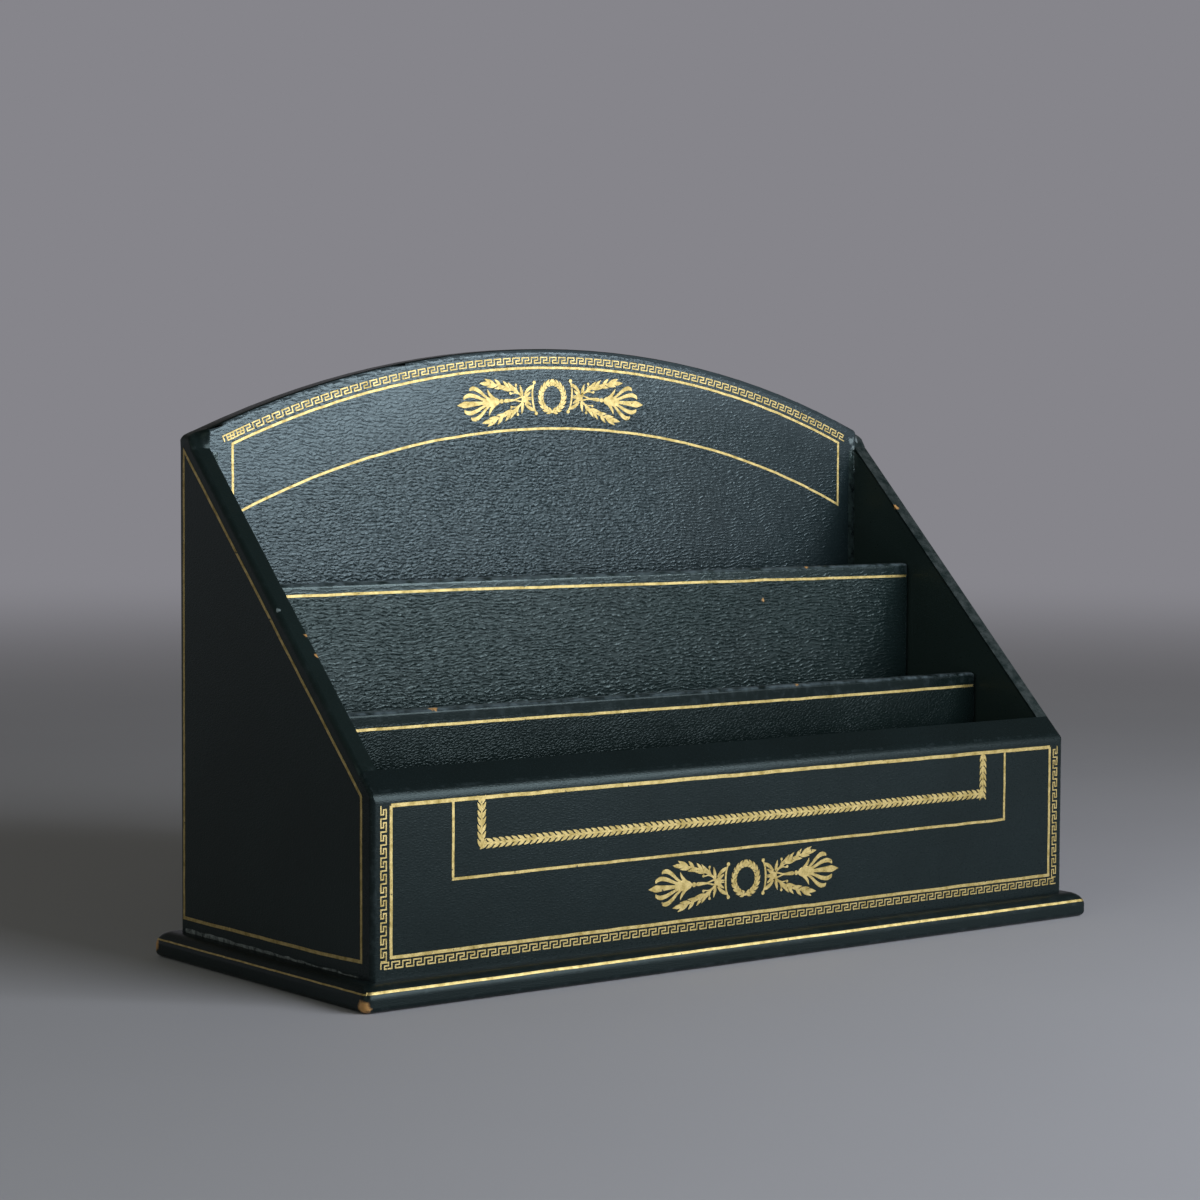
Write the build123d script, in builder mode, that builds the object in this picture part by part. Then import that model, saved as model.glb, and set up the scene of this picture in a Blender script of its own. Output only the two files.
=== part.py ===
"""A leather-covered letter rack: an arched back, sloped sides, a bevelled front, two dividers and a plinth.

Millimetres. X runs along the rack's width, Y from its front to its back, Z up from the table.
The origin is at the middle of the underside.
"""

import os
from math import cos, radians, sin, sqrt, tan

from build123d import *

# The box above the plinth, measured over its leather
box_width = 300.0
box_depth = 115.0
front_height = 65.2
slope_angle = 44.5
arch_crown_height = 204.4
arch_corner_height = 173.1
edge_radius = 1.8

# Finished wall thicknesses, each with leather on both faces
front_thickness = 7.1
side_thickness = 6.5
back_thickness = 9.2
leather_thickness = 0.8
lining_lap = 3.0

# The dividers, each set back from the rack's front face
divider_thickness = 5.0
divider_edge_radius = 1.6
divider_end_gap = 0.25
front_divider_setback = 38.0
front_divider_height = 86.4
rear_divider_setback = 74.5
rear_divider_height = 125.5

# The plinth
plinth_height = 8.6
plinth_overhang = 6.6
moulding_radius = 4.5
foot_radius = 1.8
turn_in = 12.0
baize_proud = 0.2

# Fastenings
pin_diameter = 1.4
pin_length = 19.0
pin_edge_distance = 12.0
pin_set = 0.3
front_pin_count = 2
back_pin_count = 4
screw_diameter = 2.8
screw_head_diameter = 5.4
screw_length = 22.0
screw_end_distance = 40.0
screws_per_board = 3
fastening_clearance = 0.05

# How far a cutting shape runs past what it cuts
overrun = 10.0

# Places that follow from the sizes above
half_width = box_width / 2
front_y = -box_depth / 2
back_y = box_depth / 2
cavity_half_width = half_width - side_thickness
cavity_front_y = front_y + front_thickness
cavity_back_y = back_y - back_thickness
core_half_width = cavity_half_width + leather_thickness
core_front_y = cavity_front_y - leather_thickness
core_back_y = cavity_back_y + leather_thickness
plinth_width = box_width + 2 * plinth_overhang
plinth_depth = box_depth + 2 * plinth_overhang
baize_thickness = baize_proud + leather_thickness
slope_rise = tan(radians(slope_angle))
arch_rise = arch_crown_height - arch_corner_height
arch_radius = (half_width**2 + arch_rise**2) / (2 * arch_rise)
arch_centre_z = arch_crown_height - arch_radius
ceiling_z = arch_crown_height + overrun
dividers = {
    "front_divider": (front_divider_setback, front_divider_height),
    "rear_divider": (rear_divider_setback, rear_divider_height),
}


def slope_z(y, inset):
    """Height of the sloped rim at depth y, lowered so that it lies inset below the leather."""
    return front_height + slope_rise * (y - front_y) - inset / cos(radians(slope_angle))


def arch_z(x, inset):
    """Height of the arched top at x, inset below the leather."""
    return arch_centre_z + sqrt((arch_radius - inset) ** 2 - x**2)


def block(x_range, y_range, z_range):
    """A plain box between three pairs of limits."""
    sizes = [high - low for low, high in (x_range, y_range, z_range)]
    middles = [(low + high) / 2 for low, high in (x_range, y_range, z_range)]
    with BuildPart() as box:
        with Locations(tuple(middles)):
            Box(*sizes)
    return box.part


def arch_outline(plane, reach, foot_z, inset):
    """A face under the arch, from -reach to reach, standing on foot_z."""
    with BuildSketch(plane) as outline:
        with BuildLine():
            left = (-reach, arch_z(reach, inset))
            right = (reach, arch_z(reach, inset))
            ThreePointArc(left, (0, arch_z(0, inset)), right)
            Polyline(right, (reach, foot_z), (-reach, foot_z), left)
        make_face()
    return outline.sketch


def arched_prism(reach, depth, inset):
    """A prism under the arch, forward from the rear face, with both edges of its arch rounded."""
    rear_plane = Plane.XZ.offset(-(back_y - inset))
    outline = arch_outline(rear_plane, reach, plinth_height, inset)
    with BuildPart() as prism:
        add(outline)
        extrude(amount=depth, dir=(0, -1, 0))
        fillet(prism.edges().filter_by(GeomType.CIRCLE), edge_radius - inset)
    return prism.part


def back_plate(inset):
    """The back board's own form, which stands above the ends of the sloped rims: full width, with rounded ends."""
    reach = half_width - inset
    depth = (cavity_back_y + inset, back_y - inset)
    with BuildPart() as plate:
        add(block((-reach, reach), depth, (plinth_height, ceiling_z)))
        fillet(plate.edges().filter_by(Axis.Z), edge_radius - inset)
        add(arched_prism(reach + overrun, depth[1] - depth[0], inset), mode=Mode.INTERSECT)
    return plate.part


def envelope(inset):
    """The whole outer body above the plinth, as a solid, lying inset below the outside of the leather."""
    front = front_y + inset
    back = back_y - inset
    slope_direction = Axis((0, 0, 0), (0, cos(radians(slope_angle)), sin(radians(slope_angle))))
    under_arch = arched_prism(half_width + overrun, box_depth + overrun, inset)
    with BuildPart() as body:
        with BuildSketch(Plane.YZ):
            with BuildLine():
                Polyline(
                    (front, plinth_height),
                    (front, slope_z(front, inset)),
                    (back, slope_z(back, inset)),
                    (back, plinth_height),
                    close=True,
                )
            make_face()
        extrude(amount=half_width - inset, both=True)
        knee = body.edges().filter_by(Axis.X).group_by(Axis.Y)[0].sort_by(Axis.Z)[-1:]
        corners = body.edges().filter_by(Axis.Z)
        rims = body.edges().filter_by(slope_direction)
        fillet(knee + corners + rims, edge_radius - inset)
        add(under_arch, mode=Mode.INTERSECT)
        add(back_plate(inset))
    return body.part


def cavity():
    """The open space between the four walls, up past the top of the arch."""
    across = (-cavity_half_width, cavity_half_width)
    return block(across, (cavity_front_y, cavity_back_y), (plinth_height - overrun, ceiling_z))


def divider_block(setback, height, inset):
    """A divider's solid, standing between the side linings, with its top and end edges rounded."""
    reach = cavity_half_width - divider_end_gap - inset
    face_y = front_y + setback
    with BuildPart() as divider:
        with BuildSketch(Plane.YZ):
            with BuildLine():
                Polyline(
                    (face_y + inset, plinth_height),
                    (face_y + inset, height - inset),
                    (face_y + divider_thickness - inset, height - inset),
                    (face_y + divider_thickness - inset, plinth_height),
                    close=True,
                )
            make_face()
        extrude(amount=reach, both=True)
        uprights = divider.edges().filter_by(Axis.Z)
        top_edges = divider.faces().sort_by(Axis.Z)[-1].edges()
        fillet(uprights + top_edges, divider_edge_radius - inset)
    return divider.part


def plinth_section(plane, span, inset):
    """The plinth's moulded cross-section: a wide round above the nose and a small one below it."""
    with BuildSketch(plane) as section:
        with Locations((0, (plinth_height + baize_proud) / 2)):
            Rectangle(span - 2 * inset, plinth_height - baize_proud - 2 * inset)
        fillet(section.vertices().group_by(Axis.Y)[-1], moulding_radius - inset)
        fillet(section.vertices().group_by(Axis.Y)[0], foot_radius - inset)
    return section.sketch


def plinth_block(inset):
    """The plinth's solid, its moulding mitred at the corners."""
    end_plane = Plane.YZ.offset(inset - plinth_width / 2)
    rear_plane = Plane.XZ.offset(inset - plinth_depth / 2)
    end_section = plinth_section(end_plane, plinth_depth, inset)
    rear_section = plinth_section(rear_plane, plinth_width, inset)
    with BuildPart() as plinth:
        add(end_section)
        extrude(amount=plinth_width - 2 * inset, dir=(1, 0, 0))
        add(rear_section)
        extrude(amount=plinth_depth - 2 * inset, dir=(0, -1, 0), mode=Mode.INTERSECT)
    return plinth.part


def pin_group(clearance, relief):
    """Pins into the ends of the sides and of the dividers, set a little below the wood."""
    set_depth = leather_thickness + pin_set + pin_length / 2
    low_z = plinth_height + pin_edge_distance
    radius = pin_diameter / 2 + clearance
    length = pin_length + 2 * relief
    side_x = half_width - side_thickness / 2
    front_mid_y = front_y + set_depth
    back_mid_y = back_y - set_depth
    front_top_z = slope_z(cavity_front_y, 0) - pin_edge_distance
    back_top_z = slope_z(back_mid_y - pin_length / 2, 0) - pin_edge_distance
    front_step = (front_top_z - low_z) / (front_pin_count - 1)
    back_step = (back_top_z - low_z) / (back_pin_count - 1)
    rows = [(front_mid_y, low_z + front_step * index) for index in range(front_pin_count)]
    rows += [(back_mid_y, low_z + back_step * index) for index in range(back_pin_count)]
    divider_rows = []
    for setback, height in dividers.values():
        middle_y = front_y + setback + divider_thickness / 2
        divider_rows += [(middle_y, low_z), (middle_y, height - pin_edge_distance)]
    mid_x = half_width - set_depth
    with BuildPart() as pins:
        with Locations(*[(x, y, z) for x in (-side_x, side_x) for y, z in rows]):
            Cylinder(radius, length, rotation=(90, 0, 0))
        with Locations(*[(x, y, z) for x in (-mid_x, mid_x) for y, z in divider_rows]):
            Cylinder(radius, length, rotation=(0, 90, 0))
    return pins.part


def screw_group(clearance):
    """Countersunk screws up through the plinth into the front and back board."""
    shank_radius = screw_diameter / 2 + clearance
    head_radius = screw_head_diameter / 2 + clearance
    head_height = head_radius - shank_radius
    span = box_width - 2 * screw_end_distance
    step = span / (screws_per_board - 1)
    rows_y = (front_y + front_thickness / 2, back_y - back_thickness / 2)
    places = [(step * index - span / 2, y) for y in rows_y for index in range(screws_per_board)]
    with BuildPart() as screws:
        with BuildSketch(Plane.XY.offset(baize_thickness)):
            with Locations(*places):
                Circle(shank_radius)
        extrude(amount=screw_length + clearance)
        with Locations(*[(x, y, baize_thickness) for x, y in places]):
            Cone(head_radius, shank_radius, head_height, align=(Align.CENTER, Align.CENTER, Align.MIN))
    return screws.part


def keep_within(part, x_range, y_range):
    """The stretch of a part between two pairs of limits in plan."""
    limits = block(x_range, y_range, (-overrun, ceiling_z))
    with BuildPart() as stretch:
        add(part)
        add(limits, mode=Mode.INTERSECT)
    return stretch.part


def without(part, *cutters):
    """A part with other solids cut out of it."""
    with BuildPart() as rest:
        add(part)
        for cutter in cutters:
            add(cutter, mode=Mode.SUBTRACT)
    return rest.part


def save(part, name):
    """Label a finished piece, write it to its own file and say how large it is."""
    part.label = name
    export_step(part, f"parts/{name}.step")
    size = part.bounding_box().size
    print(f"{name}: {len(part.solids())} solid(s), {size.X:.1f} x {size.Y:.1f} x {size.Z:.1f}")


os.makedirs("parts", exist_ok=True)

# Shapes that several pieces share
wood_body = envelope(leather_thickness)
leather_body = envelope(0)
outer_skin = without(leather_body, wood_body, cavity())
pin_holes = pin_group(fastening_clearance, pin_set)
screw_holes = screw_group(fastening_clearance)
far_x = half_width + overrun
far_y = back_y + overrun
full_width = (-far_x, far_x)
cavity_width = (-cavity_half_width, cavity_half_width)
core_width = (-core_half_width, core_half_width)

# Front and back boards, full width, with the holes of their pins and screws
front_core = keep_within(wood_body, full_width, (-far_y, core_front_y))
with BuildPart() as front_board:
    add(front_core)
    add(pin_holes, mode=Mode.SUBTRACT)
    add(screw_holes, mode=Mode.SUBTRACT)
save(front_board.part, "front_board")

back_core = keep_within(wood_body, full_width, (core_back_y, far_y))
with BuildPart() as back_board:
    add(back_core)
    add(pin_holes, mode=Mode.SUBTRACT)
    add(screw_holes, mode=Mode.SUBTRACT)
save(back_board.part, "back_board")

# Side boards between them, each with its outer leather and its lining
for side, hand in (("left", -1), ("right", 1)):
    core_range = sorted((hand * core_half_width, hand * far_x))
    skin_range = sorted((hand * cavity_half_width, hand * far_x))
    lining_range = sorted((hand * cavity_half_width, hand * core_half_width))
    lap_range = sorted((hand * (cavity_half_width - lining_lap), hand * cavity_half_width))
    side_core = keep_within(wood_body, core_range, (core_front_y, core_back_y))
    side_skin = keep_within(outer_skin, skin_range, (cavity_front_y, far_y))
    lining_sheet = keep_within(wood_body, lining_range, (cavity_front_y, core_back_y))
    lap_strip = keep_within(wood_body, lap_range, (cavity_back_y - leather_thickness, cavity_back_y))

    with BuildPart() as side_board:
        add(side_core)
        add(pin_holes, mode=Mode.SUBTRACT)
    save(side_board.part, f"{side}_side_board")

    save(side_skin, f"{side}_side_leather")

    with BuildPart() as side_lining:
        add(lining_sheet)
        add(lap_strip)
        add(pin_holes, mode=Mode.SUBTRACT)
    save(side_lining.part, f"{side}_side_lining")

# Leather of the front board, over its bevel and round its ends, and the lining behind it
front_leather = keep_within(outer_skin, full_width, (-far_y, cavity_front_y))
save(front_leather, "front_leather")
front_lining = keep_within(wood_body, core_width, (core_front_y, cavity_front_y))
save(front_lining, "front_lining")

# Leather of the back board: the tooled face, and the rear sheet that is turned over the arch
back_face_leather = keep_within(leather_body, cavity_width, (cavity_back_y, core_back_y))
save(back_face_leather, "back_face_leather")
back_rear_leather = keep_within(outer_skin, cavity_width, (core_back_y, far_y))
save(back_rear_leather, "back_rear_leather")

# Dividers, each a thin board with its leather folded round its top and its ends
for name, (setback, height) in dividers.items():
    divider_core = divider_block(setback, height, leather_thickness)
    divider_outside = divider_block(setback, height, 0)

    with BuildPart() as divider_board:
        add(divider_core)
        add(pin_holes, mode=Mode.SUBTRACT)
    save(divider_board.part, f"{name}_board")

    with BuildPart() as divider_leather:
        add(divider_outside)
        add(divider_core, mode=Mode.SUBTRACT)
        add(pin_holes, mode=Mode.SUBTRACT)
    save(divider_leather.part, f"{name}_leather")

# The plinth, with the leather of its moulding, the floor lining and the cloth underneath
foot_width = (turn_in - plinth_width / 2, plinth_width / 2 - turn_in)
foot_depth = (turn_in - plinth_depth / 2, plinth_depth / 2 - turn_in)
floor_lining = block(core_width, (core_front_y, core_back_y), (plinth_height - leather_thickness, plinth_height))
base_baize = block(foot_width, foot_depth, (0, baize_thickness))
plinth_core = plinth_block(leather_thickness)
plinth_outside = plinth_block(0)

with BuildPart() as plinth_board:
    add(plinth_core)
    add(screw_holes, mode=Mode.SUBTRACT)
save(plinth_board.part, "plinth_board")

with BuildPart() as plinth_leather:
    add(plinth_outside)
    add((plinth_core, floor_lining, base_baize), mode=Mode.SUBTRACT)
    add(screw_holes, mode=Mode.SUBTRACT)
save(plinth_leather.part, "plinth_leather")

save(floor_lining, "floor_lining")
save(base_baize, "base_baize")

# Fastenings
save(pin_group(0, 0), "panel_pins")
save(screw_group(0), "plinth_screws")
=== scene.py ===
# %% [markdown]
# # A leather letter rack, tooled in gold
#
# The rack is a wooden box covered in dark blue-green goatskin. Lines, bands and ornaments are pressed
# into the leather through gold leaf. The boards and the cut leather come from the CAD model, loaded first.
# Everything below dresses that model: nothing on it changes size.

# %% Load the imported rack
import math
import random

import bmesh
import bpy
from mathutils import Matrix, Vector


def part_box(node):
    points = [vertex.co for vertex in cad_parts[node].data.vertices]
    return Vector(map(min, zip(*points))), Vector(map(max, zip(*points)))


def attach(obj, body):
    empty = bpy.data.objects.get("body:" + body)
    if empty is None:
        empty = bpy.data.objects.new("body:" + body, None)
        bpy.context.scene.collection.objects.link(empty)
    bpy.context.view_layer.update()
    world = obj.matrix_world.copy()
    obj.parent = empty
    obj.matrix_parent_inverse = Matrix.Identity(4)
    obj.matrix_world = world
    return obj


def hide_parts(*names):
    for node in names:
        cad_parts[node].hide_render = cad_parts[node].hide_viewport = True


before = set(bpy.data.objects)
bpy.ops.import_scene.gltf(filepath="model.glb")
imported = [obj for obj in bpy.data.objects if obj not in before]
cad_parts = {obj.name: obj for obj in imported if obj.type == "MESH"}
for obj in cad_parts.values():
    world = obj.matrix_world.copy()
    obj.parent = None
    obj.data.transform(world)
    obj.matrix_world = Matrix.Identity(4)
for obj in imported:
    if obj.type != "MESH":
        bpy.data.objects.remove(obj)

MM = 0.001
scene = bpy.context.scene
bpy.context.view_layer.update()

# %% [markdown]
# ## The camera
#
# The photograph was taken from the front left, a little above the top of the rack. The camera's place,
# direction and focal length were found by fitting the box's corners. The table line in the picture is not
# quite level, so a roll of a quarter of a degree is kept.

# %% Camera
PHOTO_PIXELS = 1200.0
FOCAL_PIXELS = 3049.0
CAMERA_PLACE = Vector((-658.0, -823.5, 179.0)) * MM
YAW, PITCH, ROLL = (math.radians(angle) for angle in (37.84, 3.37, 0.24))

forward = Vector((math.sin(YAW) * math.cos(PITCH), math.cos(YAW) * math.cos(PITCH), -math.sin(PITCH)))
level_right = forward.cross(Vector((0, 0, 1))).normalized()
level_up = level_right.cross(forward)
right = level_right * math.cos(ROLL) + level_up * math.sin(ROLL)
up = level_up * math.cos(ROLL) - level_right * math.sin(ROLL)

camera_data = bpy.data.cameras.new("photo_camera")
camera_data.sensor_width = 36.0
camera_data.lens = FOCAL_PIXELS / PHOTO_PIXELS * camera_data.sensor_width
camera = bpy.data.objects.new("photo_camera", camera_data)
camera.matrix_world = Matrix.Translation(CAMERA_PLACE) @ Matrix((right, up, -forward)).transposed().to_4x4()
scene.collection.objects.link(camera)
scene.camera = camera
scene.view_settings.view_transform = "Standard"
print("camera lens in mm:", round(camera_data.lens, 2))

# %% [markdown]
# ## Colours and nodes
#
# Colours are written as hex values, and one function turns them into the linear light that the renderer
# works with. A second function adds a shader node: it sets the options, fills the inputs, and links those
# that are given another node's output.

# %% Colour and node helpers
def linear(hex_colour):
    """An sRGB hex colour as the linear RGBA that Blender's sockets hold."""
    levels = [int(hex_colour[i:i + 2], 16) / 255 for i in (1, 3, 5)]
    return [v / 12.92 if v <= 0.04045 else ((v + 0.055) / 1.055) ** 2.4 for v in levels] + [1.0]


def add(tree, kind, inputs=None, **options):
    """A new node in the tree. An input is a value, or another node's output to link."""
    made = tree.nodes.new("ShaderNode" + kind)
    for option, value in options.items():
        setattr(made, option, value)
    for name, value in (inputs or {}).items():
        socket = made.inputs[name]
        if isinstance(value, bpy.types.NodeSocket):
            tree.links.new(value, socket)
        else:
            socket.default_value = value
    return made


def new_material(name):
    """An empty material, its node tree, its surface input and the place that is shaded."""
    material = bpy.data.materials.new(name)
    material.use_nodes = True
    tree = material.node_tree
    tree.nodes.clear()
    output = tree.nodes.new("ShaderNodeOutputMaterial")
    return material, tree, output.inputs["Surface"], add(tree, "TexCoord").outputs["Object"]


print("dark leather in linear light:", [round(v, 4) for v in linear("#1b282a")[:3]])

# %% [markdown]
# ## Common nodes
#
# Most finishes are put together from the same few nodes: a calculation, a range of values mapped on another
# range, a ramp between two colours, and noise whose spots have a size in millimetres.

# %% Common nodes
def compute(tree, operation, *terms):
    """A Math node's result from up to three numbers or outputs."""
    return add(tree, "Math", dict(enumerate(terms)), operation=operation).outputs["Value"]


def remap(tree, value, start, end, low=0.0, high=1.0, kind="LINEAR"):
    """A value, its range from start to end mapped on low to high."""
    inputs = {"Value": value, "From Min": start, "From Max": end, "To Min": low, "To Max": high}
    return add(tree, "MapRange", inputs, interpolation_type=kind).outputs["Result"]


def ramp(tree, value, *stops):
    """A ramp between two colours, each given as (position, colour)."""
    made = add(tree, "ValToRGB", {"Fac": value})
    for element, (position, colour) in zip(made.color_ramp.elements, stops):
        element.position = position
        element.color = linear(colour)
    return made.outputs["Color"]


def mix(tree, share, shade, colour):
    """The shade, turned into the colour where share is 1."""
    inputs = {"Factor": share, "A": shade, "B": linear(colour)}
    return add(tree, "Mix", inputs, data_type="RGBA").outputs["Result"]


def speckle(tree, place, size_mm, detail, roughness=0.5):
    """The outputs of a noise whose spots are about that wide."""
    inputs = {"Vector": place, "Scale": 1 / (size_mm * MM), "Detail": detail, "Roughness": roughness}
    return add(tree, "TexNoise", inputs).outputs


def shifted(tree, place, noise, reach_mm):
    """The place, moved along each axis by a noise's colour times the reach."""
    inputs = {0: noise["Color"], 1: [reach * MM for reach in reach_mm], 2: place}
    return add(tree, "VectorMath", inputs, operation="MULTIPLY_ADD").outputs["Vector"]


def scaled(tree, place, lengths_mm):
    """Coordinates that grow by 1 along these lengths."""
    inputs = {"Vector": place, "Scale": [1 / (length * MM) for length in lengths_mm]}
    return add(tree, "Mapping", inputs).outputs["Vector"]


def distance(tree, place, centre):
    """How far a place is from a centre."""
    return add(tree, "VectorMath", {0: place, 1: centre}, operation="DISTANCE").outputs["Value"]


def coat(tree, surface, inputs, height=None, depth_mm=0.0):
    """The material's shader, linked to its surface, with bumps if a height is given."""
    if height:
        bump = add(tree, "Bump", {"Height": height, "Distance": depth_mm * MM})
        inputs["Normal"] = bump.outputs["Normal"]
    shader = add(tree, "BsdfPrincipled", inputs)
    tree.links.new(shader.outputs["BSDF"], surface)


print("one unit of the scene is", 1 / MM, "mm")

# %% [markdown]
# ## The floor
#
# The rack stands on a painted floor that reaches far past the picture. Close to the rack it is pale. Far
# away it takes the grey of the surround, so that no horizon line cuts through the picture.

# %% Floor
FLOOR_REACH = 20.0
FADE_START, FADE_END = 0.35, 2.6
MOTTLE_MM = 350.0
SURROUND = "#86858b"
floor_mesh = bpy.data.meshes.new("studio_floor")
corners = [(-1, -1), (1, -1), (1, 1), (-1, 1)]
floor_mesh.from_pydata([(x * FLOOR_REACH, y * FLOOR_REACH, 0) for x, y in corners], [], [(0, 1, 2, 3)])
floor = bpy.data.objects.new("studio_floor", floor_mesh)
scene.collection.objects.link(floor)

material, tree, surface, place = new_material("painted_studio_floor")
mottle = speckle(tree, place, MOTTLE_MM, 3.0)["Fac"]
paint = ramp(tree, mottle, (0.0, "#bdbbbf"), (1.0, "#c9c7ca"))
floor_shader = add(tree, "BsdfPrincipled", {"Base Color": paint, "Roughness": 0.8})
far = remap(tree, distance(tree, place, (0, 0, 0)), FADE_START, FADE_END, kind="SMOOTHERSTEP")
ray = add(tree, "LightPath").outputs
seen = compute(tree, "ADD", ray["Is Camera Ray"], ray["Is Glossy Ray"])
share = compute(tree, "MULTIPLY", far, seen)
backdrop = add(tree, "Emission", {"Color": linear(SURROUND)})
blend = add(tree, "MixShader", {0: share, 1: floor_shader.outputs["BSDF"], 2: backdrop.outputs["Emission"]})
tree.links.new(blend.outputs["Shader"], surface)
floor_mesh.materials.append(material)
print("the floor is", 2 * FLOOR_REACH, "m wide")

# %% [markdown]
# ## The lights
#
# The leather is almost black, so its colour is mostly the soft reflection of one large softbox: strong on
# the back board and weak on the left side. A dim fill opens the shade there, and a small high light draws a
# line along every rounded edge. The grey room has a dark ceiling, which keeps the bevel and the sloped rims
# darker than the upright faces.

# %% Lights and surround
COOL_WHITE = "#eef5ff"


def square_light(name, place, size, energy, colour):
    """A square area light that looks at the rack."""
    data = bpy.data.lights.new(name, "AREA")
    data.size = size
    data.energy = energy
    data.color = linear(colour)[:3]
    light = bpy.data.objects.new(name, data)
    light.location = place
    light.rotation_euler = (-Vector(place)).to_track_quat("-Z", "Y").to_euler()
    light.visible_camera = False
    scene.collection.objects.link(light)
    return light


softbox = square_light("softbox", (0.34, -1.05, 0.50), 0.80, 13.5, COOL_WHITE)
softbox.data.shape = "RECTANGLE"
softbox.data.size_y = 0.81
softbox.rotation_euler = (math.radians(90), 0, math.radians(16))
square_light("fill", (-1.60, -0.50, 0.70), 1.2, 2.6, "#f0fff0")
square_light("high_window", (0.74, -0.95, 0.52), 0.22, 1.7, COOL_WHITE)

world = bpy.data.worlds.new("grey_studio")
scene.world = world
world.use_nodes = True
room = world.node_tree
look = add(room, "TexCoord").outputs["Generated"]
height = add(room, "SeparateXYZ", {"Vector": look}).outputs["Z"]
surround = ramp(room, height, (0.16, SURROUND), (0.5, "#44433d"))
room.links.new(surround, room.nodes["Background"].inputs["Color"])
print("softbox stands at", [round(v, 2) for v in softbox.location])

# %% [markdown]
# ## Grained goatskin
#
# Goatskin for bindings is boarded: rolled on itself until the grain stands up in short wrinkles. Pebbles
# come from noise and from cells with valleys between them, in stretched coordinates that a slow flow bends.
# On boarded skin, broken wavy ridges lie over them. Real pores are finer than a pixel here, so the pebbles
# are drawn coarser.

# %% Grain of the leather
# Each grain has a wrinkle's length and height and its ridges' pitch in mm, and the share of pebbles.
BOARDED = (3.4, 0.95, 1.3, 0.18)
FINE_BOARDED = (2.3, 1.25, 1.25, 0.42)
PEBBLED = (1.5, 0.9, 0.0, 1.0)
PRESSED = (1.6, 0.8, 0.0, 1.0)
FLOW_MM, FLOW_BEND_MM = 20.0, (5.0, 5.0, 4.0)
RIDGE_STRETCH = (1.2, 1.2, 1.0)
WAVES_PER_UNIT = 20 / (2 * math.pi)


def leather_grain(tree, place, wrinkle):
    """The heights of the fine ripple and of the whole grain."""
    long_mm, high_mm, ridge_mm, pebble_share = wrinkle
    bent = shifted(tree, place, speckle(tree, place, FLOW_MM, 1.0), FLOW_BEND_MM)
    skin = scaled(tree, bent, (long_mm, long_mm, high_mm))
    ripple = add(tree, "TexNoise", {"Vector": skin, "Scale": 1.3, "Detail": 2.0}).outputs["Fac"]
    cells = add(tree, "TexVoronoi", {"Vector": skin, "Scale": 1.0}, feature="DISTANCE_TO_EDGE").outputs
    valley = remap(tree, cells["Distance"], 0.0, 0.3, high=0.6, kind="SMOOTHSTEP")
    pebbles = compute(tree, "ADD", ripple, valley)
    if not ridge_mm:
        return ripple, pebbles
    inputs = {"Vector": scaled(tree, bent, RIDGE_STRETCH), "Scale": 1 / (ridge_mm * WAVES_PER_UNIT),
              "Distortion": 6.5, "Detail": 1.0, "Detail Scale": 1.3}
    ridges = add(tree, "TexWave", inputs, bands_direction="Z").outputs["Fac"]
    crest = remap(tree, ridges, 0.42, 1.0, kind="SMOOTHSTEP")
    crest = compute(tree, "MULTIPLY", crest, remap(tree, ripple, 0.35, 0.65))
    return ripple, compute(tree, "MULTIPLY_ADD", pebbles, pebble_share, crest)


print("a wrinkle of the back board is", FINE_BOARDED[0], "mm long")

# %% [markdown]
# ## Wear and painted light
#
# Each mask is 1 where the leather is worn or painted, and 0 elsewhere. Scuffs and chips are round spots with
# a ragged rim. The back board's rim is painted pale as sheen, one end of a sheet may be burnished, and faces
# that look one way get painted light: a highlight on the divider tops and right rim, shade on the laps.

# %% Masks of wear and painted light
RAGGED_MM, CRUMB_MM = 2.4, 1.6


def worn_spots(tree, place, spots):
    """1 inside any of the spots, each (x, y, z, radius) in mm."""
    ragged = shifted(tree, place, speckle(tree, place, CRUMB_MM, 3.0), [RAGGED_MM] * 3)
    worn = None
    for *middle, radius in spots:
        centre = Vector([value + RAGGED_MM / 2 for value in middle]) * MM
        mark = remap(tree, distance(tree, ragged, centre), radius * MM, 0.6 * radius * MM)
        worn = compute(tree, "MAXIMUM", worn, mark) if worn else mark
    return worn


def rim_share(tree, place, centre_x, centre_z, inner, outer):
    """1 on the back board's face outside the outer radius, 0 inside the inner one, in mm."""
    centre = [centre_x * MM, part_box("back_face_leather")[0].y, centre_z * MM]
    return remap(tree, distance(tree, place, centre), inner * MM, outer * MM, kind="SMOOTHSTEP")


def end_share(tree, place, start, end):
    """From 0 to 1 between two X in mm."""
    across = add(tree, "SeparateXYZ", {"Vector": place}).outputs["X"]
    return remap(tree, across, start * MM, end * MM, kind="SMOOTHSTEP")


def facing_share(tree, direction):
    """1 on faces that look that way."""
    normal = add(tree, "TexCoord").outputs["Normal"]
    facing = add(tree, "VectorMath", {0: normal, 1: direction}, operation="DOT_PRODUCT")
    return remap(tree, facing.outputs["Value"], 0.3, 0.65)


print("worn spots are ragged by", RAGGED_MM, "mm")

# %% [markdown]
# ## The leather material
#
# Dark dye leaves little diffuse colour. A waxed, satin face and the wrinkles give the broken blue-green
# sheen. Leather pulled over an edge loses its grain and rubs pale, so the sheets carry a number, arris,
# that is 1 on their rounded edges.

# %% Leather material
BLUE_SHEEN, GREEN_SHEEN = linear("#e2f9fc"), linear("#e6fffc")
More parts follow.
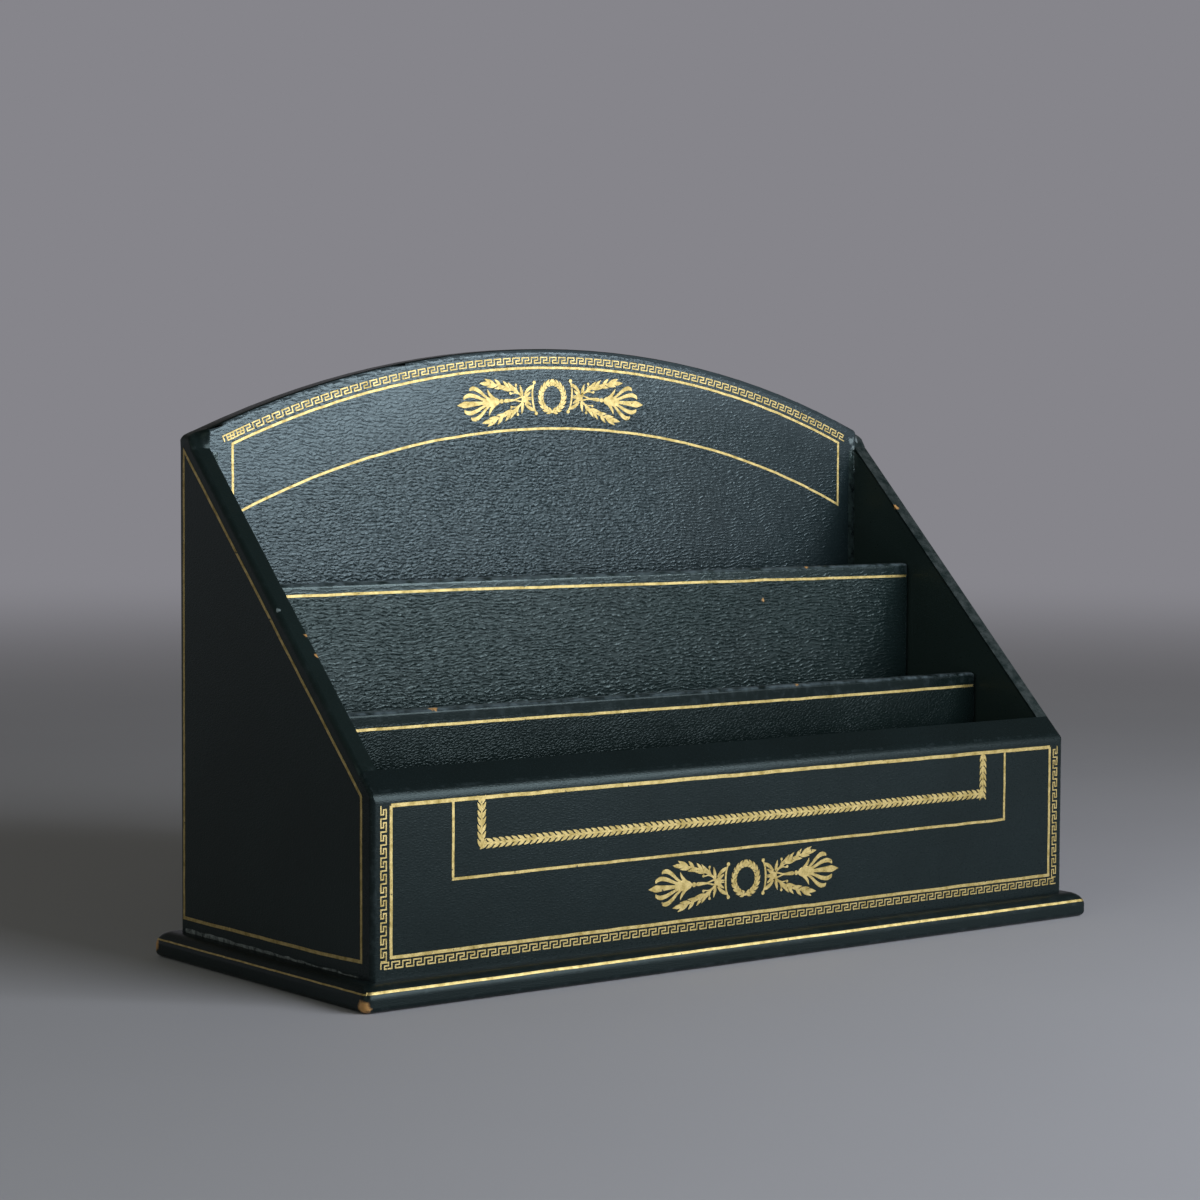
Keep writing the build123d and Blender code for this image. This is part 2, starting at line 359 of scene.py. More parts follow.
# PAINTED_RIM_SHEEN is a sheen painted on the back board's rim; the other three colours are wear.
SCUFFED, BARE_BOARD, EDGE_RUBBED, PAINTED_RIM_SHEEN = "#74807f", "#c4945a", "#465052", "#3d474a"
PATCH_MM, RUB_AND_LIGHT_MOTTLE_MM = 45.0, 4.0
WAX_CHANGE, EDGE_POLISH, BURNISH = 0.07, 0.04, 0.02
EDGE_GRAIN, HANDLED_GRAIN, BURNISHED_GRAIN = 0.2, 0.85, 0.42


def goatskin(name, colour, light_colour, wrinkle, depth_mm, roughness, ior, sheen=GREEN_SHEEN,
             scuffs=(), chips=(), handled_sheen_rim=None, turned=None, burnished=None):
    """Dyed goatskin. handled_sheen_rim is (centre x, centre z, inner, outer radius) of a rim painted pale as
    sheen, turned the painted light on faces that look one way (direction, colour, change of roughness),
    burnished the two X between which it gets smooth."""
    material, tree, surface, place = new_material(name)
    ripple, grain = leather_grain(tree, place, wrinkle)
    patch = speckle(tree, place, PATCH_MM, 3.0)["Fac"]
    rub_and_light_mottle = speckle(tree, place, RUB_AND_LIGHT_MOTTLE_MM, 5.0, 0.7)["Fac"]
    arris = add(tree, "Attribute", attribute_name="arris").outputs["Fac"]
    relief = compute(tree, "MULTIPLY", remap(tree, patch, 0.3, 0.7, 0.55, 1.25),
                     remap(tree, arris, 0.0, 1.0, 1.0, EDGE_GRAIN))
    height = compute(tree, "MULTIPLY", grain, relief)
    shade = ramp(tree, patch, (0.3, colour), (0.75, light_colour))
    gloss = remap(tree, ripple, 0.0, 1.0, roughness + WAX_CHANGE, roughness - WAX_CHANGE)
    gloss = compute(tree, "MULTIPLY_ADD", arris, -EDGE_POLISH, gloss)
    if handled_sheen_rim:
        rim = rim_share(tree, place, *handled_sheen_rim)
        # The rim is painted pale as sheen, and its grain is flattened.
        shade = mix(tree, rim, shade, PAINTED_RIM_SHEEN)
        height = compute(tree, "MULTIPLY", height, remap(tree, rim, 0.0, 1.0, 1.0, HANDLED_GRAIN))
    if burnished:
        smooth_end = end_share(tree, place, *burnished)
        gloss = compute(tree, "MULTIPLY_ADD", smooth_end, -BURNISH, gloss)
        height = compute(tree, "MULTIPLY", height, remap(tree, smooth_end, 0.0, 1.0, 1.0, BURNISHED_GRAIN))
    # Faces that look one way get mottled painted light: a painted highlight where the colour is pale,
    # painted shade where it is dark, with a change of roughness.
    if turned:
        direction, painted_light_colour, change = turned
        looks = facing_share(tree, direction)
        gloss = compute(tree, "MULTIPLY_ADD", looks, change, gloss)
        looks = compute(tree, "MULTIPLY", looks, remap(tree, rub_and_light_mottle, 0.38, 0.62))
        shade = mix(tree, looks, shade, painted_light_colour)
    edge_wear = compute(tree, "MULTIPLY", arris, remap(tree, rub_and_light_mottle, 0.5, 0.72, high=0.35))
    shade = mix(tree, edge_wear, shade, EDGE_RUBBED)
    for spots, bare in ((scuffs, SCUFFED), (chips, BARE_BOARD)):
        if spots:
            shade = mix(tree, worn_spots(tree, place, spots), shade, bare)
    finish = {"Base Color": shade, "Roughness": gloss, "IOR": ior, "Specular Tint": sheen}
    coat(tree, surface, finish, height, depth_mm)
    return material


print("dye patches are about", PATCH_MM, "mm wide")

# %% [markdown]
# ## One leather for each place
#
# The back board and the rear divider were boarded, the front divider has fine pebbles, and the outside was
# pressed almost flat. The waxed skin of the back board reflects most, so its refractive index is the
# highest. Marks of wear stand where the real rack has them.

# %% Kinds of leather
ARCH_CENTRE_MM, ARCH_RADIUS_MM = -170.68, 375.08
# A pale painted highlight on faces that look up, such as the tops of the dividers, with a rougher face.
PAINTED_TOP_HIGHLIGHT = ((0, 0, 1), "#5b676b", 0.1)
leathers = {
    "panel": goatskin(
        "boarded_goatskin_panel", "#121b1c", "#1a2628", FINE_BOARDED, 0.14, 0.27, 1.54, BLUE_SHEEN,
        scuffs=[(141.6, 48.3, 171.6, 1.6), (142.7, 48.3, 169.0, 1.2)], chips=[(44.2, 48.3, 201.8, 0.8)],
        handled_sheen_rim=(35.0, ARCH_CENTRE_MM, 345.0, 375.0), burnished=(0.0, 120.0)),
    "rear divider": goatskin(
        "boarded_goatskin_rear", "#111b1b", "#192625", BOARDED, 0.22, 0.27, 1.48,
        chips=[(70.2, 17, 113.9, 0.7), (92, 18, 125.2, 0.9)], burnished=(124.0, 144.0), turned=PAINTED_TOP_HIGHLIGHT),
    "front divider": goatskin(
        "boarded_goatskin_front", "#0c1514", "#121c1b", PEBBLED, 0.08, 0.25, 1.28,
        chips=[(-101.8, -18.6, 86.3, 1.0), (-100, -18.6, 86.3, 1.0), (55.5, -18.6, 86.3, 0.9)],
        turned=PAINTED_TOP_HIGHLIGHT),
    "front": goatskin("pressed_goatskin", "#111919", "#161f20", PRESSED, 0.03, 0.29, 1.32),
    "plinth": goatskin(
        "pressed_goatskin_plinth", "#111919", "#161f20", PRESSED, 0.03, 0.36, 1.3,
        chips=[(-155.6, -62.0, 2.3, 2.5), (-156, 62.5, 4.2, 2.4)]),
    "left side": goatskin(
        "pressed_goatskin_left", "#121b1a", "#172221", PRESSED, 0.03, 0.36, 1.36,
        scuffs=[(-149, -2.8, 119, 0.9)], chips=[(-143.7, -10.6, 111.3, 0.8), (-143.7, -17.0, 105.0, 1.0)]),
    "right side": goatskin(
        "pressed_goatskin_right", "#151f1e", "#1b2625", PRESSED, 0.08, 0.36, 1.36,
        scuffs=[(145.0, 48.9, 172.3, 1.5)], chips=[(144.1, 25.1, 146.6, 1.2)],
        # The rim of the right side is painted lighter where it faces up, as a painted highlight.
        turned=((0, 0, 1), "#3b4140", 0.1)),
    # The lining's colour is painted lighter to make up for the shade it stands in, and its lap on the back
    # board gets painted shade where it faces forward.
    "lining": goatskin(
        "paste_down_goatskin", "#2a3634", "#323f3d", PRESSED, 0.03, 0.30, 1.38,
        turned=((0, -1, 0), "#0c1212", -0.14)),
}
print("leathers:", [m.name for m in leathers.values()])

# %% [markdown]
# ## Gold leaf
#
# The leaf is real gold, fixed by a heated brass tool. It takes the gloss of the leather below it, so it is
# satin rather than mirror bright. Handling rubs small specks away.

# %% Gold material
GOLD_TONE_MM, SPECK_MM, SPECK_DEPTH_MM = 3.0, 1.1, 0.03
SPECK_EDGE = (0.27, 0.33)
gold, tree, surface, place = new_material("tooled_gold_leaf")
tone = speckle(tree, place, GOLD_TONE_MM, 4.0, 0.7)["Fac"]
leaf_colour = ramp(tree, tone, (0.3, "#a08b4e"), (0.6, "#d5bf81"))
rub = speckle(tree, place, SPECK_MM, 3.0)["Fac"]
kept = remap(tree, rub, *SPECK_EDGE)
lost = remap(tree, rub, *SPECK_EDGE, 1.0, 0.0)
finish = {"Base Color": mix(tree, lost, leaf_colour, "#2a2b22"), "Metallic": kept,
          "Roughness": remap(tree, tone, 0.0, 1.0, 0.58, 0.4)}
coat(tree, surface, finish, rub, SPECK_DEPTH_MM)
print("gold material:", gold.name)

# %% [markdown]
# ## Forms: the back board's ends and the laps
#
# Leather on such a box is softer than the cut solids, so four small forms are pressed into it. Each takes a
# point in millimetres and gives its new place. The first leans the back board's two ends back with the rims
# and wears their corners round. The second pares the linings thin where they lap on to the back board.

# %% Ends and laps
panel_low, panel_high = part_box("back_face_leather")
panel_front, inner_half = panel_low.y / MM, panel_high.x / MM
back_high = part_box("back_rear_leather")[1].y / MM
left_x, right_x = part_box("left_side_leather")[0].x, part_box("right_side_leather")[1].x
outer_half = -left_x / MM
SLOPE, SLOPE_FOOT_MM = 0.9827, (-57.5, 65.2)
END_LEAN, END_TAPER_MM = 0.7, 4.0
END_ROUND_MM, END_FADE_MM = 1.8, 6.0
LAP_MM, LAP_PARING_MM, LAP_DEPTH_MM = 3.0, 2.2, 0.9
LAP_EDGE_MM, LAP_THICK_MM = 0.03, 0.16
SLACK_MM = 0.1


def ease(t):
    """0 to 1 with a soft start and end."""
    t = min(1.0, max(0.0, t))
    return t * t * (3 - 2 * t)


def fall_away(radius, past):
    """How far a round of that radius falls away, that far past its crown."""
    past = min(radius, max(0.0, past))
    return radius - math.sqrt(radius ** 2 - past ** 2)


def end_form(p):
    """The back board's two ends, leaning back with the rims, their upper corners worn round."""
    drop = fall_away(END_ROUND_MM, abs(p.x) - outer_half + END_ROUND_MM)
    below_arch = ARCH_CENTRE_MM + math.sqrt(ARCH_RADIUS_MM ** 2 - p.x ** 2) - p.z
    if p.y > panel_front - SLACK_MM:
        p = Vector((p.x, p.y, p.z - drop * ease(1 - below_arch / END_FADE_MM)))
    share = (back_high - p.y) / (back_high - panel_front)
    if share > 1.001:
        return p
    behind = SLOPE_FOOT_MM[0] + (p.z - SLOPE_FOOT_MM[1]) / SLOPE - panel_front
    lean = END_LEAN * ease((abs(p.x) - inner_half) / END_TAPER_MM) * max(0.0, behind)
    return Vector((p.x, p.y + share * lean, p.z))


def lap_form(p):
    """A lining, whose lap on the back board is pared thin towards its edge."""
    into_lap = abs(p.x) - inner_half + LAP_MM
    if into_lap < -0.01 or p.y < panel_front - LAP_DEPTH_MM:
        return p
    thick = LAP_EDGE_MM + LAP_THICK_MM * ease(into_lap / LAP_PARING_MM)
    if p.y >= panel_front - SLACK_MM:
        thick = 0.0
    return Vector((p.x, panel_front - thick, p.z))


print("the back board's ends lean by", END_LEAN, "of the slope")

# %% [markdown]
# ## Forms: worn edges
#
# Hands and tables wear edges round. The front's knee, between its face and its bevel, follows a circle that
# touches both. The plinth's moulding draws in above and below its nose, and gets the same round corner at
# each height.

# %% Worn edges
KNEE_RADIUS_MM, KNEE_SKIN_MM = 6.0, 0.1
slope_out = Vector((-SLOPE, 1.0)).normalized()
knee_drop = KNEE_RADIUS_MM * (1 + slope_out.x) / slope_out.y
knee_centre = Vector((SLOPE_FOOT_MM[0] + KNEE_RADIUS_MM, SLOPE_FOOT_MM[1] - knee_drop))
plinth_low, plinth_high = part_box("plinth_leather")
NOSE_RADIUS_MM, FOOT_RADIUS_MM, CORNER_WEAR_MM = 4.5, 1.8, 2.5


def knee_form(p):
    """The front's knee between its face and its bevel, worn to a soft round."""
    out = Vector((p.y, p.z)) - knee_centre
    before_bevel = out.x * slope_out.y - out.y * slope_out.x < 0
    if out.y <= 0 or out.x >= 0 or not before_bevel or out.length < KNEE_RADIUS_MM - KNEE_SKIN_MM:
        return p
    worn = knee_centre + out.normalized() * KNEE_RADIUS_MM
    return Vector((p.x, worn.x, worn.y))


def corner_form(p):
    """The plinth's moulding, worn round at its corners."""
    inset = fall_away(NOSE_RADIUS_MM, p.z - plinth_high.z / MM + NOSE_RADIUS_MM)
    inset += fall_away(FOOT_RADIUS_MM, FOOT_RADIUS_MM - p.z)
    drawn_in = inset + CORNER_WEAR_MM
    turn = Vector((plinth_high.x, plinth_high.y)) / MM - Vector((drawn_in, drawn_in))
    out = Vector((abs(p.x), abs(p.y))) - turn
    if min(out) <= 0.0:
        return p
    out = turn + out.normalized() * max(out)
    return Vector((math.copysign(out.x, p.x), math.copysign(out.y, p.y), p.z))


print("the knee's round has its centre at", [round(v, 2) for v in knee_centre])

# %% [markdown]
# ## Where a sheet is cut
#
# A flat face has no points in its middle to bend. A sheet with a form is first cut by planes into a grid,
# with more cuts where the form bends most, given across X, Y and Z in millimetres. The dividers have no
# form, but need cuts where their stretched top begins.

# %% Cuts for the forms
def both(values):
    """Each value with either sign."""
    return [sign * value for value in values for sign in (-1, 1)]


plinth_corner = [0.4, 0.8, 1.2, 1.6, 2.0, 2.5, 3.2, 4.0, 5.0]
plinth_x, plinth_y = (both([edge / MM - k for k in plinth_corner]) for edge in plinth_high.xy)
end_cuts = both([144.2, 145, 145.8, 146.6, 147.4, 148.2, 148.6, 149, 149.3, 149.6, 149.8])
end_heights = [169.4 + k for k in range(7)]
lap_cuts = both([inner_half - LAP_MM + LAP_PARING_MM * k / 6 for k in range(1, 7)])
side_form = (end_form, end_cuts, [49.5, 51], end_heights)
lining_form = (lap_form, lap_cuts, [], [])
FORMS = {
    "front_leather": (knee_form, [], [], [knee_centre.y + 0.4 * k for k in range(12)]),
    "back_board": (end_form, end_cuts, [], end_heights),
    "left_side_leather": side_form, "right_side_leather": side_form,
    "left_side_lining": lining_form, "right_side_lining": lining_form,
    "front_divider_leather": (None, [], [], [80.6, 81.5, 82.4, 83.5]),
    "rear_divider_leather": (None, [], [], [120.6, 121.7, 122.8]),
    "plinth_leather": (corner_form, plinth_x, plinth_y, []),
}
print("formed sheets:", len(FORMS))

# %% [markdown]
# ## The leather sheets
#
# Each leather is a copy of its CAD solid and takes its place. Sheets with a form have their flat faces
# joined into single ones, then cut and pressed. Points between small faces that meet at an angle lie on a
# rounded edge, and get a high arris number. The laps in the corners are not rubbed.

# %% Leather sheets
GRID_MM = 5.0
ARRIS_ANGLE, ARRIS_FADE = math.radians(4), 1.6
UNRUBBED = ("left_side_lining", "right_side_lining")
STRETCHED_MM = {"front_divider_leather": (80.6, 82.4), "rear_divider_leather": (120.6, 122.8)}


def finish_piece(name, shape, material, slot, *replaced, smooth_angle=40):
    """A piece of that shape, smooth across small angles, riding on the rack."""
    mesh = bpy.data.meshes.new(name)
    shape.to_mesh(mesh)
    shape.free()
    mesh.polygons.foreach_set("use_smooth", [True] * len(mesh.polygons))
    mesh.set_sharp_from_angle(angle=math.radians(smooth_angle))
    mesh.materials.append(material)
    piece = bpy.data.objects.new(name, mesh)
    scene.collection.objects.link(piece)
    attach(piece, "root")
    if replaced:
        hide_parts(*replaced)
    print(name, "has", len(mesh.polygons), "faces")
    return piece


def cut_grid(sheet, low, high, more_cuts):
    """Cuts the sheet's faces across each axis, every few mm and at the given places."""
    bmesh.ops.dissolve_limit(sheet, angle_limit=math.radians(0.2), verts=sheet.verts, edges=sheet.edges)
    for axis, across in enumerate(Matrix.Identity(3)):
        count = int((high[axis] - low[axis]) / (GRID_MM * MM))
        cuts = [low[axis] + (high[axis] - low[axis]) * step / count for step in range(1, count)]
        for cut in cuts + [value * MM for value in more_cuts[axis]]:
            everything = sheet.verts[:] + sheet.edges[:] + sheet.faces[:]
            bmesh.ops.bisect_plane(sheet, geom=everything, dist=0.0001 * MM, plane_co=across * cut,
                                   plane_no=across)


def mark_arris(sheet, node_name):
    """Gives each point its arris number, also along the stretched top of a divider."""
    arris = sheet.verts.layers.float.new("arris")
    for corner in sheet.verts:
        normals = [face.normal for face in corner.link_faces]
        turned = any(n.angle(normals[0], 0.0) > ARRIS_ANGLE for n in normals[1:])
        widest = max(face.calc_area() for face in corner.link_faces) / (GRID_MM * MM) ** 2
        rounded = turned and node_name not in UNRUBBED
        corner[arris] = max(0.0, 1 - ARRIS_FADE * widest) if rounded else 0.0
        if node_name in STRETCHED_MM:
            start, end = STRETCHED_MM[node_name]
            corner[arris] = max(corner[arris], ease((corner.co.z / MM - start) / (end - start)))


def cut_sheet(node_name, material, slot):
    """A copy of a CAD solid, which it replaces, gridded and pressed if it has a form."""
    sheet = bmesh.new()
    sheet.from_mesh(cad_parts[node_name].data)
    bmesh.ops.remove_doubles(sheet, verts=sheet.verts, dist=0.002 * MM)
    if node_name in FORMS:
        form, *more_cuts = FORMS[node_name]
        cut_grid(sheet, *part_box(node_name), more_cuts)
        for corner in sheet.verts if form else ():
            corner.co = form(corner.co / MM) * MM
    sheet.normal_update()
    mark_arris(sheet, node_name)
    piece = finish_piece(node_name + "_skin", sheet, material, slot, node_name)
    piece.modifiers.new("flat_faces_stay_flat", "WEIGHTED_NORMAL").keep_sharp = True


SHEETS = {
    "front_leather": "front", "left_side_leather": "left side", "right_side_leather": "right side",
    "back_face_leather": "panel", "back_rear_leather": "front", "front_divider_leather": "front divider",
    "rear_divider_leather": "rear divider", "plinth_leather": "plinth", "front_lining": "lining",
    "left_side_lining": "lining", "right_side_lining": "lining", "floor_lining": "lining",
}
for node_name, kind in SHEETS.items():
    cut_sheet(node_name, leathers[kind], "lining_leather" if kind == "lining" else "morocco_leather")

# %% [markdown]
# ## Pressing the gold
#
# Every tooled mark is a ribbon of leaf that follows a path on the leather. It is flat, with a small bevel
# on both sides, and closed underneath, so each mark is a small solid that sits in the skin. Marks that
# cross differ a hair in height, so no two of their faces share a plane.

# %% Ribbon of gold
LEAF_RISE_MM, LEAF_SINK_MM = 0.06, 0.06
STACK_MM, STACK_STEPS = 0.002, 23
SECTION = [(-1.0, -1.0), (-1.0, 0.3), (-0.92, 1.0), (0.0, 1.0), (0.92, 1.0), (1.0, 0.3), (1.0, -1.0)]


def ribbon(marks, spot, path, half_widths, closed=False, rise=LEAF_RISE_MM):
    """Adds a closed ribbon. path is in mm on the face, spot(u, v, h) gives the place in the room."""
    count = len(path)
    rise += STACK_MM * (len(marks.verts) // len(SECTION) % STACK_STEPS)
    path = [Vector(p) for p in path]
    if not isinstance(half_widths, list):
        half_widths = [half_widths] * count
    rows = []
    for i, here in enumerate(path):
        before = path[i - 1] if i or closed else here
        after = path[(i + 1) % count] if i + 1 < count or closed else here
        a = (here - before).normalized() if before is not here else (after - here).normalized()
        b = (after - here).normalized() if after is not here else a
        along = (a + b).normalized() if (a + b).length > 1e-6 else b
        mitre = 1 / max(0.5, along.dot(b))
        across = Vector((-along.y, along.x)) * mitre * half_widths[i]
        row = []
        for side, lift in SECTION:
            p = here + across * side
            height = lift * (rise if lift > 0 else LEAF_SINK_MM)
            row.append(marks.verts.new(spot(p.x, p.y, height)))
        rows.append(row)
    pairs = list(zip(rows, rows[1:]))
    if closed:
        pairs.append((rows[-1], rows[0]))
    for one, two in pairs:
        for k in range(len(SECTION)):
            j = (k + 1) % len(SECTION)
            marks.faces.new((one[k], two[k], two[j], one[j]))
    if not closed:
        marks.faces.new(rows[0])
        marks.faces.new(list(reversed(rows[-1])))


def ribbon_piece(name, marks, material=gold, slot="gold_leaf", smooth_angle=12):
    """Hands the marks to the rack as a piece, of gold leaf if nothing else is said."""
    bmesh.ops.recalc_face_normals(marks, faces=marks.faces)
    finish_piece(name, marks, material, slot, smooth_angle=smooth_angle)


hand = random.Random(7)


def drawn(path, step_mm=6.0, wander_mm=0.05):
    """Points every few mm along the path, each a little off, as a hand-held tool leaves it."""
    points = []
    for start, end in zip(path, path[1:]):
        start, end = Vector(start), Vector(end)
        pieces = max(1, round((end - start).length / step_mm))
        points += [start.lerp(end, k / pieces) for k in range(pieces)]
    points.append(Vector(path[-1]))
    return [points[0]] + [p + Vector((hand.gauss(0, wander_mm), hand.gauss(0, wander_mm)))
                          for p in points[1:-1]] + [points[-1]]


print("ribbon section has", len(SECTION), "corners")

# %% [markdown]
# ## The Greek key
#
# A running key is one continuous line. The finisher rolls it on with a brass wheel, so it repeats exactly
# along its length. At a corner one run starts where the other ends.

# %% Greek key
KEY_PITCH_MM, KEY_HALF_MM = 4.03, 0.23
KEY_UNIT = [(0, 0), (0, 1), (0.7, 1), (0.7, 0.49), (0.33, 0.49), (0.33, 0)]


def key_path(length_mm, height_mm):
    """Points (along, across) of a running key of about that length."""
    count = round(length_mm / KEY_PITCH_MM)
    pitch = length_mm / count
    points = [((k + x) * pitch, y * height_mm) for k in range(count) for x, y in KEY_UNIT]
    return points + [(length_mm, 0)]


print("one key unit is", KEY_PITCH_MM, "mm long")

# %% [markdown]
# ## Leaves and beads
#
# Curved marks go smoothly through a few points, and their half widths swell with them. A leaf is a short
# ribbon that ends in a point, and a bead is a ribbon as long as it is wide.

# %% Drawing marks
def smooth(points, steps=5):
    """A smooth curve through points, which may also carry a half width."""
    points = [Vector(p) for p in points]
    curve = []
    for i in range(len(points) - 1):
        a, b = points[i], points[i + 1]
        before = points[i - 1] if i else a + (a - b)
        after = points[i + 2] if i + 2 < len(points) else b + (b - a)
        for k in range(steps):
            t = k / steps
            curve.append(0.5 * (2 * a + (b - before) * t + (2 * before - 5 * a + 4 * b - after) * t ** 2
                                + (3 * a - before - 3 * b + after) * t ** 3))
    return curve + [points[-1]]


POINT_MM = 0.04


def swelling(marks, spot, points, rise=LEAF_RISE_MM):
    """A curved mark through (u, v, half width) points."""
    curve = smooth(points)
    ribbon(marks, spot, [p.xy for p in curve], [max(POINT_MM, p.z) for p in curve], rise=rise)


def leaf(marks, spot, base, tip, half_width, rise=LEAF_RISE_MM):
    """A pointed leaf from its base to its tip."""
    base, tip = Vector(base), Vector(tip)
    shape = [(0.0, 0.15), (0.2, 0.75), (0.42, 1.0), (0.65, 0.8), (0.85, 0.4), (1.0, 0.0)]
    path = [base.lerp(tip, t) for t, w in shape]
    ribbon(marks, spot, path, [max(POINT_MM, w * half_width) for t, w in shape], rise=rise)


def bead(marks, spot, centre, radius, rise=LEAF_RISE_MM):
    """A round bead."""
    angles = [math.pi * k / 8 for k in range(9)]
    path = [Vector(centre) + Vector((-math.cos(a) * radius, 0)) for a in angles]
    ribbon(marks, spot, path, [max(POINT_MM, math.sin(a) * radius) for a in angles], rise=rise)


print("a bead has", 9 * len(SECTION), "corners")

# %% [markdown]
# ## The ornament's parts
#
# The wreath ornament is a wreath with a torch-like flower spray on each side. One half is drawn outwards
# from the wreath's centre, then mirrored: a bracket with ball ends, a knot, two laurel sprays, a turned
# stem and a palmette. Each point is (outwards, up, half width) in mm.

# %% Parts of the ornament
HIGH_MM = 0.1
BRACKET_BAR = [(7.6, 5.3, 0.28), (8.25, 3.9, 0.36), (8.7, 1.6, 0.4), (8.7, -1.6, 0.4), (8.25, -3.9, 0.36),
               (7.5, -5.3, 0.28)]
BRACKET_ARMS = [[(8.0, 4.4, 0.3), (9.3, 3.9, 0.62), (10.8, 3.0, 0.62), (12.2, 1.6, 0.35)],
                [(9.5, 2.3, 0.2), (10.6, 1.6, 0.5), (11.8, 0.8, 0.72), (13.0, 0.2, 0.6)],
                [(9.2, 0.3, 0.15), (10.6, 0.3, 0.32), (12.0, 0.1, 0.6), (13.2, 0.0, 0.5)],
                [(12.6, 0.5, 0.3), (13.9, 0.72, 0.28), (15.2, 0.45, 0.28), (16.6, 0.05, 0.3)]]
BRACKET_BALL, KNOT, STEM_BEAD = ((7.6, 5.5), 0.7), ((12.9, 0), 0.75), ((22.35, 0), 0.85)
STEM = [(15.8, 0, 0.3), (17.5, 0, 0.42), (19.4, 0, 0.6), (20.7, 0, 0.66), (21.4, 0, 0.4)]
TORCH = [(23.2, 0, 0.35), (23.9, 0, 1.1), (25.2, 0, 1.6), (27.0, 0, 1.75), (28.8, 0, 1.55), (30.4, 0, 0.9)]
MIDDLE_LOBE = [(28.5, 0, 0.45), (32.0, 0, 0.7), (36.0, 0, 1.0), (38.4, 0, 1.2), (39.9, 0, 0.72),
               (41.5, 0, 0.04)]
PALMETTE_LOBES = [[(28.0, 1.4, 0.4), (29.6, 2.5, 0.5), (31.6, 4.2, 0.66), (33.6, 5.3, 0.78),
                   (35.2, 5.3, 0.62), (35.9, 4.7, 0.2)],
                  [(28.0, 0.7, 0.4), (30.6, 1.4, 0.5), (33.6, 2.6, 0.68), (36.2, 3.1, 0.76),
                   (38.0, 2.6, 0.6), (38.5, 1.8, 0.2)],
                  [(25.4, 1.0, 0.6), (26.8, 2.2, 0.6), (27.7, 3.4, 0.45), (28.2, 4.6, 0.08)]]
SPRAY_STALK = [(12.4, 0.3, 0.45), (14.2, 1.9, 0.42), (16.6, 3.3, 0.4), (20.0, 4.8, 0.36),
               (24.0, 5.9, 0.34), (28.0, 6.6, 0.26)]
SPRAY_LEAVES = [
    ((13.0, 1.0), (14.0, 5.1), 0.66), ((14.8, 2.3), (17.6, 5.2), 0.6), ((16.2, 3.0), (19.2, 6.5), 0.68),
    ((18.6, 4.3), (21.3, 7.1), 0.66), ((22.2, 5.4), (24.8, 8.0), 0.68), ((24.6, 6.0), (29.2, 8.4), 0.82),
    ((26.6, 6.4), (31.4, 7.0), 0.82), ((17.2, 3.6), (22.3, 4.3), 0.68), ((20.6, 5.0), (25.1, 4.7), 0.66),
    ((23.6, 5.8), (28.4, 5.5), 0.74)]
BERRIES, BERRY_RADIUS_MM = [(15.7, 5.2), (18.3, 2.5)], 0.52
BERRY_STALKS = [([(15.0, 2.4), (15.9, 5.0)], 0.16), (smooth([(14.4, 1.9), (16.2, 2.5), (18.1, 2.3)]), 0.2)]
print("a spray has", len(SPRAY_LEAVES), "leaves")

# %% [markdown]
# ## Stamping the ornament
#
# Leaves, beads and the middle lobe stand a little higher than the stalks, so that they stay distinct. The
# two halves may hang down by a tilt, which lets the ornament follow the arch of the back board.

# %% Ornament
WREATH_RADIUS_MM, WREATH_BAND_MM, RING_POINTS = 5.2, 0.5, 64
WREATH_PAIRS, WREATH_REACH_MM, WREATH_LEAN, WREATH_LEAF_MM = 10, 1.2, 0.36, 0.5
HINGE_MM = 8.0


def half_ornament(marks, spot):
    """One half, drawn outwards from the wreath's centre. spot takes the half's own (u, v, h)."""
    swelling(marks, spot, BRACKET_BAR)
    swelling(marks, spot, STEM, HIGH_MM)
    bead(marks, spot, *STEM_BEAD, HIGH_MM)
    swelling(marks, spot, TORCH)
    swelling(marks, spot, MIDDLE_LOBE, HIGH_MM)
    bead(marks, spot, *KNOT, HIGH_MM)
    for flip in (1, -1):
        def flipped(u, v, h):
            return spot(u, v * flip, h)
        bead(marks, flipped, *BRACKET_BALL, HIGH_MM)
        for arm in BRACKET_ARMS + PALMETTE_LOBES:
            swelling(marks, flipped, arm)
        swelling(marks, flipped, SPRAY_STALK)
        for base, tip, half_width in SPRAY_LEAVES:
            leaf(marks, flipped, base, tip, half_width, HIGH_MM)
        for place in BERRIES:
            bead(marks, flipped, place, BERRY_RADIUS_MM, HIGH_MM)
        for path, half_width in BERRY_STALKS:
            ribbon(marks, flipped, path, half_width)


def wreath(marks, spot):
    """A ring of small leaves on a flat band, growing up both sides from the foot."""
    def ring_place(angle, radius):
        return Vector((math.sin(angle) * radius, -math.cos(angle) * radius))
    circle = [ring_place(2 * math.pi * k / RING_POINTS, WREATH_RADIUS_MM) for k in range(RING_POINTS)]
    ribbon(marks, spot, circle, WREATH_BAND_MM, closed=True)
    for side in (-1, 1):
        for k in range(WREATH_PAIRS):
            angle = side * math.pi * (k + 0.2) / WREATH_PAIRS
            ahead = angle + side * WREATH_LEAN
            for reach in (-WREATH_REACH_MM, WREATH_REACH_MM):
                base = ring_place(angle, WREATH_RADIUS_MM + reach * 0.15)
                tip = ring_place(ahead, WREATH_RADIUS_MM + reach)
                leaf(marks, spot, base, tip, WREATH_LEAF_MM, HIGH_MM)


